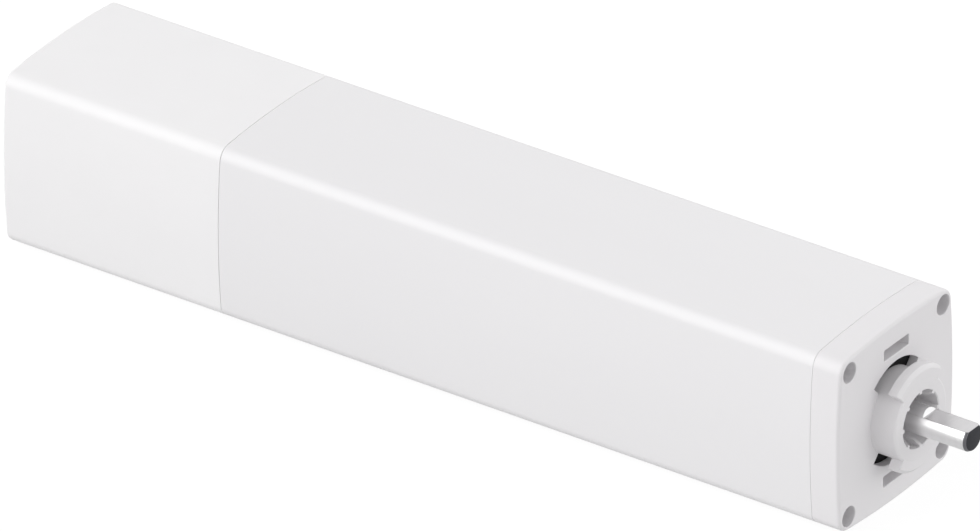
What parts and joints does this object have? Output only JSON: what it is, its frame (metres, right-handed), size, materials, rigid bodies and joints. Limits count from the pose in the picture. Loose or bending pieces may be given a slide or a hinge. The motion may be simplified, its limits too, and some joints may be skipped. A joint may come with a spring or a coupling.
{
  "type": "roller shutter motor",
  "caption": "Square-bodied shutter and curtain drive motor with a bayonet head, D-cut output shaft, planetary gearbox, and a slide-off battery pack at the rear.",
  "frame": {"origin": "centre of the output shaft's end face", "axes": "+X along the output shaft, pointing out of the head; +Z is the side of the shaft's flat at rest; the battery pack is at -X"},
  "size_m": [0.2911, 0.0536, 0.0532],
  "materials": {
    "white_plastic": "fine-grained moulded plastic, satin",
    "painted_tube": "white powder paint on extruded aluminium, satin",
    "black_plastic": "moulded glass-filled plastic, matt",
    "grey_plastic": "moulded plastic, matt",
    "rubber": "moulded rubber and foam, matt",
    "steel": "turned and ground steel, bright",
    "dark_steel": "black-oxide and sintered steel, dull",
    "gear_nylon": "natural moulded nylon",
    "ferrite": "pressed ferrite, matt",
    "copper": "enamelled copper",
    "brass": "turned brass",
    "graphite": "pressed carbon",
    "circuit_board": "glass-fibre board under solder mask",
    "cell_wrap": "shrink-wrapped cell",
    "clear_plastic": "clear moulded plastic",
    "red_wire": "wire insulation",
    "black_wire": "wire insulation"
  },
  "bodies": {
    "housing": {"front_flange": "white_plastic", "housing_tube": "painted_tube", "flange_screw_1": "steel", "flange_screw_2": "steel", "flange_screw_3": "steel", "flange_screw_4": "steel", "gearbox_cover": "grey_plastic", "shaft_bearing": "steel", "dust_seal": "rubber", "ring_gear": "gear_nylon", "motor_plate": "dark_steel", "gearbox_screw_1": "dark_steel", "gearbox_screw_2": "dark_steel", "gearbox_screw_3": "dark_steel", "motor_screw_1": "steel", "motor_screw_2": "steel", "motor_can": "steel", "magnet_upper": "ferrite", "magnet_lower": "ferrite", "end_bell": "black_plastic", "brush_upper": "graphite", "brush_lower": "graphite", "encoder_board": "circuit_board", "gearbox_damper": "rubber", "motor_damper": "rubber", "electronics_tray": "black_plastic", "control_board": "circuit_board", "light_pipe": "clear_plastic", "motor_lead_red": "red_wire", "motor_lead_black": "black_wire", "rear_bulkhead": "black_plastic", "bulkhead_screw_1": "steel", "bulkhead_screw_2": "steel", "contact_pin_1": "brass", "contact_pin_2": "brass"},
    "output": {"output_shaft": "steel", "output_carrier": "dark_steel"},
    "input_stage": {"input_carrier": "gear_nylon"},
    "rotor": {"rotor_shaft": "steel", "sun_pinion": "brass", "armature_core": "dark_steel", "windings": "copper", "commutator": "copper", "encoder_magnet": "ferrite"},
    "battery_pack": {"battery_case": "white_plastic", "battery_neck": "black_plastic", "cell_1": "cell_wrap", "cell_2": "cell_wrap", "cell_3": "cell_wrap", "cell_4": "cell_wrap", "cell_holder": "black_plastic", "battery_board": "circuit_board", "charge_socket": "steel"},
    "button": {"setup_button": "grey_plastic"},
    "output_planet_1": {"output_planet_1": "gear_nylon"},
    "input_planet_1": {"input_planet_1": "gear_nylon"},
    "output_planet_2": {"output_planet_2": "gear_nylon"},
    "input_planet_2": {"input_planet_2": "gear_nylon"},
    "output_planet_3": {"output_planet_3": "gear_nylon"},
    "input_planet_3": {"input_planet_3": "gear_nylon"}
  },
  "joints": [
    {"name": "output_turn", "type": "hinge", "parent": "housing", "child": "output", "pos_m": [0, 0, 0], "axis": [1, 0, 0], "continuous": true},
    {"name": "input_stage_turn", "type": "hinge", "parent": "housing", "child": "input_stage", "pos_m": [-0.0493, 0, 0], "axis": [1, 0, 0], "continuous": true},
    {"name": "rotor_turn", "type": "hinge", "parent": "housing", "child": "rotor", "pos_m": [-0.0843, 0, 0], "axis": [1, 0, 0], "continuous": true},
    {"name": "output_planet_1_spin", "type": "hinge", "parent": "output", "child": "output_planet_1", "pos_m": [-0.0443, 0.0096, 0], "axis": [1, 0, 0], "continuous": true},
    {"name": "input_planet_1_spin", "type": "hinge", "parent": "input_stage", "child": "input_planet_1", "pos_m": [-0.0573, 0.0096, 0], "axis": [1, 0, 0], "continuous": true},
    {"name": "output_planet_2_spin", "type": "hinge", "parent": "output", "child": "output_planet_2", "pos_m": [-0.0443, -0.0048, 0.00831], "axis": [1, 0, 0], "continuous": true},
    {"name": "input_planet_2_spin", "type": "hinge", "parent": "input_stage", "child": "input_planet_2", "pos_m": [-0.0573, -0.0048, 0.00831], "axis": [1, 0, 0], "continuous": true},
    {"name": "output_planet_3_spin", "type": "hinge", "parent": "output", "child": "output_planet_3", "pos_m": [-0.0443, -0.0048, -0.00831], "axis": [1, 0, 0], "continuous": true},
    {"name": "input_planet_3_spin", "type": "hinge", "parent": "input_stage", "child": "input_planet_3", "pos_m": [-0.0573, -0.0048, -0.00831], "axis": [1, 0, 0], "continuous": true},
    {"name": "battery_slide", "type": "slide", "parent": "housing", "child": "battery_pack", "axis": [-1, 0, 0], "range_m": [0, 0.03]},
    {"name": "button_press", "type": "slide", "parent": "housing", "child": "button", "axis": [0, -1, 0], "range_m": [0, 0.0005], "stiffness_N_per_m": 1500, "springref_m": -0.0005}
  ],
  "couplings": [
    {"joint": "input_stage_turn", "follows": "output_turn", "ratio": 4},
    {"joint": "rotor_turn", "follows": "output_turn", "ratio": 16},
    {"joint": "output_planet_1_spin", "follows": "output_turn", "ratio": -3},
    {"joint": "input_planet_1_spin", "follows": "output_turn", "ratio": -12},
    {"joint": "output_planet_2_spin", "follows": "output_turn", "ratio": -3},
    {"joint": "input_planet_2_spin", "follows": "output_turn", "ratio": -12},
    {"joint": "output_planet_3_spin", "follows": "output_turn", "ratio": -3},
    {"joint": "input_planet_3_spin", "follows": "output_turn", "ratio": -12}
  ]
}
